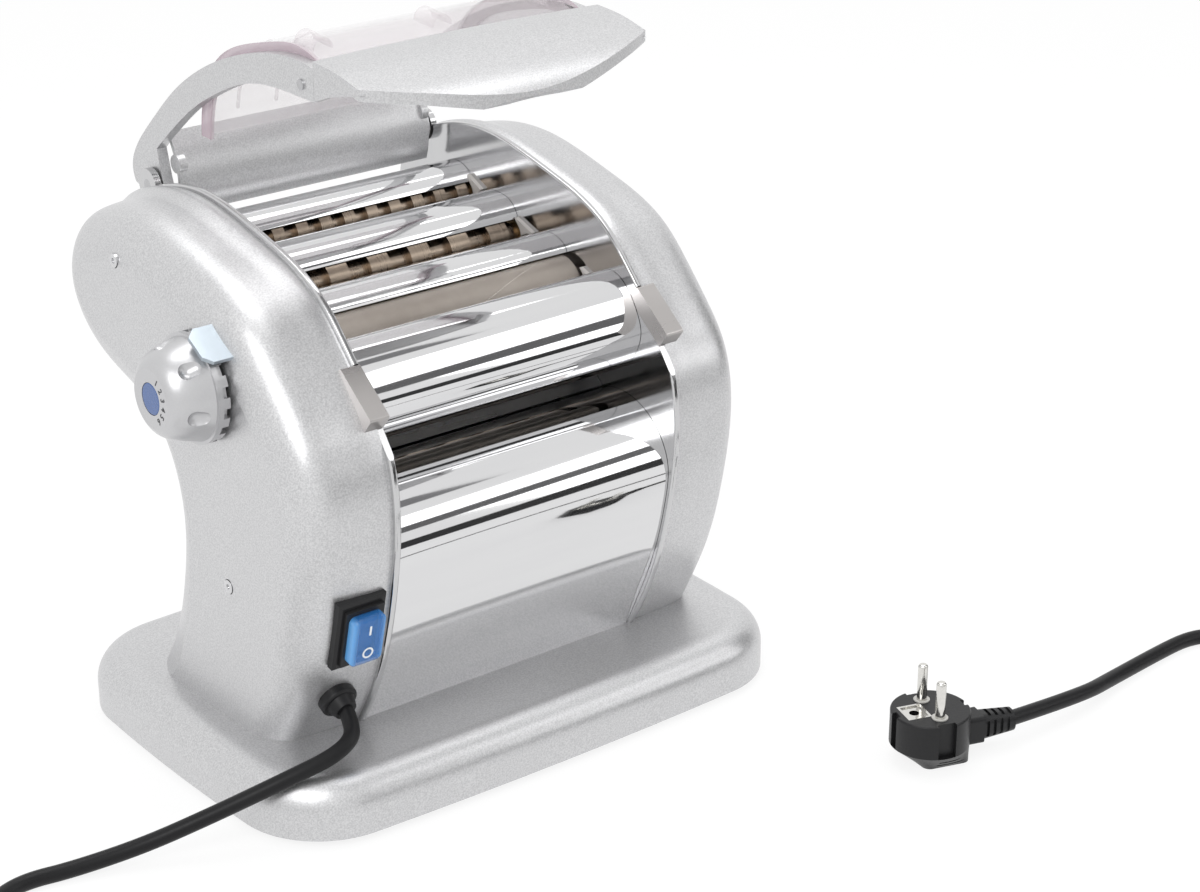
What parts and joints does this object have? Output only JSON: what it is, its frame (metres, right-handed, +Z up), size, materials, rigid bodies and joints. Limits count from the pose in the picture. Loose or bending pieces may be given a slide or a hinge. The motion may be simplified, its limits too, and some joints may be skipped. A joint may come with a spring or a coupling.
{
  "type": "electric pasta maker",
  "caption": "Table-top pasta machine: motor-driven smooth rollers, wide and narrow cutters, thickness knob, rocker switch, hinged clear lid with visor, mains cord and plug.",
  "frame": {"origin": "on the floor below the middle of the machine's box, without the cord and plug", "axes": "+X along the rollers towards the gear side, -Y the front where the sheet comes out, +Z up"},
  "size_m": [0.6428, 0.5131, 0.3402],
  "materials": {
    "silver_casting": "satin silver",
    "base_plate_black": "matt",
    "rubber": "matt",
    "screw_steel": "plated",
    "polished_plate": "polished",
    "cover_polish": "mirror polished",
    "inner_steel": "galvanised",
    "guide_white": "satin",
    "bush_bronze": "sintered",
    "comb_black": "satin",
    "roller_tint": "blasted, slightly bronze",
    "cutter_tint": "machined, slightly bronze",
    "gear_steel": "machined",
    "gear_nylon": "satin",
    "knob_grey": "satin silver",
    "cap_blue": "gloss",
    "spring_steel": "oiled",
    "tab_galvanised": "bluish galvanised",
    "gearbox_alloy": "die cast",
    "motor_black": "satin",
    "capacitor_shell": "gloss",
    "switch_black": "satin",
    "rocker_black": "gloss",
    "boot_clear": "clear blue silicone",
    "gland_black": "satin",
    "window_clear": "clear",
    "lid_alloy": "satin silver",
    "visor_alloy": "satin silver",
    "cord_black": "satin",
    "plug_black": "satin",
    "contact_nickel": "nickel plated"
  },
  "bodies": {
    "machine": {"base_shell": "silver_casting", "base_plate": "base_plate_black", "rubber_feet": "rubber", "base_screws": "screw_steel", "left_side_plate": "polished_plate", "right_side_plate": "polished_plate", "notch_plates": "polished_plate", "left_housing": "silver_casting", "right_housing": "silver_casting", "housing_screws": "screw_steel", "tie_rods": "inner_steel", "lower_front_cover": "cover_polish", "upper_front_cover": "cover_polish", "front_cover_strip": "cover_polish", "middle_cover_strip": "cover_polish", "rear_cover_strip": "cover_polish", "sheet_chute": "inner_steel", "rear_cover": "cover_polish", "end_guides": "guide_white", "roller_bushes": "bush_bronze", "cutter_combs": "comb_black", "index_tab": "tab_galvanised", "gear_posts": "screw_steel", "gear_plate": "inner_steel", "gearbox": "gearbox_alloy", "motor": "motor_black", "motor_bracket": "inner_steel", "capacitor": "capacitor_shell", "switch_bezel": "switch_black", "switch_boot": "boot_clear", "cable_gland": "gland_black", "hinge_pins": "screw_steel", "cord": "cord_black", "plug_body": "plug_black", "plug_relief": "plug_black", "plug_contacts": "contact_nickel"},
    "adjuster": {"knob_spindle": "screw_steel", "adjuster_rod": "screw_steel", "knob_spring": "spring_steel"},
    "knob_turned": {"knob": "knob_grey", "knob_cap": "cap_blue"},
    "floating_bush": {"floating_bushes": "bush_bronze"},
    "rear_roller_body": {"rear_roller": "roller_tint", "rear_roller_gear": "gear_steel"},
    "front_roller_body": {"front_roller": "roller_tint", "front_roller_gear": "gear_steel"},
    "wide_front": {"wide_cutter_front": "cutter_tint"},
    "wide_rear": {"wide_cutter_rear": "cutter_tint"},
    "narrow_front": {"narrow_cutter_front": "cutter_tint"},
    "narrow_rear": {"narrow_cutter_rear": "cutter_tint"},
    "drive": {"drive_gear": "gear_nylon"},
    "idler_to_rollers": {"roller_idler": "gear_nylon"},
    "idler_to_cutters": {"cutter_idler": "gear_nylon"},
    "pinion": {"output_pinion": "gear_steel"},
    "rocker": {"switch_rocker": "rocker_black"},
    "lid": {"lid_frame": "lid_alloy", "lid_window": "window_clear", "visor": "visor_alloy", "visor_screws": "screw_steel"}
  },
  "joints": [
    {"name": "thickness_turn", "type": "hinge", "parent": "machine", "child": "adjuster", "pos_m": [-0.09815, -0.02389, 0.19561], "axis": [1, 0, 0], "range_deg": [0, 112.5]},
    {"name": "knob_pull", "type": "slide", "parent": "adjuster", "child": "knob_turned", "axis": [-1, 0, 0], "range_m": [0, 0.006], "stiffness_N_per_m": 600, "springref_m": -0.005, "deforming": ["knob_spring"]},
    {"name": "bush_turn", "type": "hinge", "parent": "adjuster", "child": "floating_bush", "pos_m": [0.00185, -0.02374, 0.197], "axis": [1, 0, 0], "range_deg": [-112.5, 0]},
    {"name": "rear_roller_spin", "type": "hinge", "parent": "floating_bush", "child": "rear_roller_body", "pos_m": [0.00185, -0.02374, 0.197], "axis": [1, 0, 0], "continuous": true},
    {"name": "front_roller_spin", "type": "hinge", "parent": "machine", "child": "front_roller_body", "pos_m": [0.00185, -0.05372, 0.18837], "axis": [1, 0, 0], "continuous": true},
    {"name": "wide_front_spin", "type": "hinge", "parent": "machine", "child": "wide_front", "pos_m": [0.00185, 0.00446, 0.204], "axis": [1, 0, 0], "continuous": true},
    {"name": "wide_rear_spin", "type": "hinge", "parent": "machine", "child": "wide_rear", "pos_m": [0.00185, 0.02172, 0.20977], "axis": [1, 0, 0], "continuous": true},
    {"name": "narrow_front_spin", "type": "hinge", "parent": "machine", "child": "narrow_front", "pos_m": [0.00185, 0.04356, 0.215], "axis": [1, 0, 0], "continuous": true},
    {"name": "narrow_rear_spin", "type": "hinge", "parent": "machine", "child": "narrow_rear", "pos_m": [0.00185, 0.06082, 0.22077], "axis": [1, 0, 0], "continuous": true},
    {"name": "drive_spin", "type": "hinge", "parent": "machine", "child": "drive", "pos_m": [0.09185, 0.00838, 0.17313], "axis": [1, 0, 0], "continuous": true},
    {"name": "roller_idler_spin", "type": "hinge", "parent": "machine", "child": "idler_to_rollers", "pos_m": [0.09185, -0.03868, 0.1581], "axis": [1, 0, 0], "continuous": true},
    {"name": "cutter_idler_spin", "type": "hinge", "parent": "machine", "child": "idler_to_cutters", "pos_m": [0.09185, 0.04363, 0.20689], "axis": [1, 0, 0], "continuous": true},
    {"name": "pinion_spin", "type": "hinge", "parent": "machine", "child": "pinion", "pos_m": [0.09185, -0.00171, 0.13546], "axis": [1, 0, 0], "continuous": true},
    {"name": "rocker_tilt", "type": "hinge", "parent": "machine", "child": "rocker", "pos_m": [-0.09515, -0.09536, 0.09339], "axis": [-1, 0, 0], "range_deg": [0, 12]},
    {"name": "lid_hinge", "type": "hinge", "parent": "machine", "child": "lid", "pos_m": [0.00185, 0.09626, 0.248], "axis": [1, 0, 0], "range_deg": [0, 38]}
  ],
  "couplings": [
    {"joint": "bush_turn", "follows": "thickness_turn", "ratio": -1},
    {"joint": "rear_roller_spin", "follows": "front_roller_spin", "ratio": -1},
    {"joint": "roller_idler_spin", "follows": "front_roller_spin", "ratio": -0.73333},
    {"joint": "drive_spin", "follows": "front_roller_spin", "ratio": 0.47826},
    {"joint": "pinion_spin", "follows": "front_roller_spin", "ratio": -1.5714},
    {"joint": "wide_rear_spin", "follows": "front_roller_spin", "ratio": -1.5714},
    {"joint": "wide_front_spin", "follows": "front_roller_spin", "ratio": 1.5714},
    {"joint": "cutter_idler_spin", "follows": "front_roller_spin", "ratio": 1.1},
    {"joint": "narrow_rear_spin", "follows": "front_roller_spin", "ratio": -1.5714},
    {"joint": "narrow_front_spin", "follows": "front_roller_spin", "ratio": 1.5714}
  ]
}
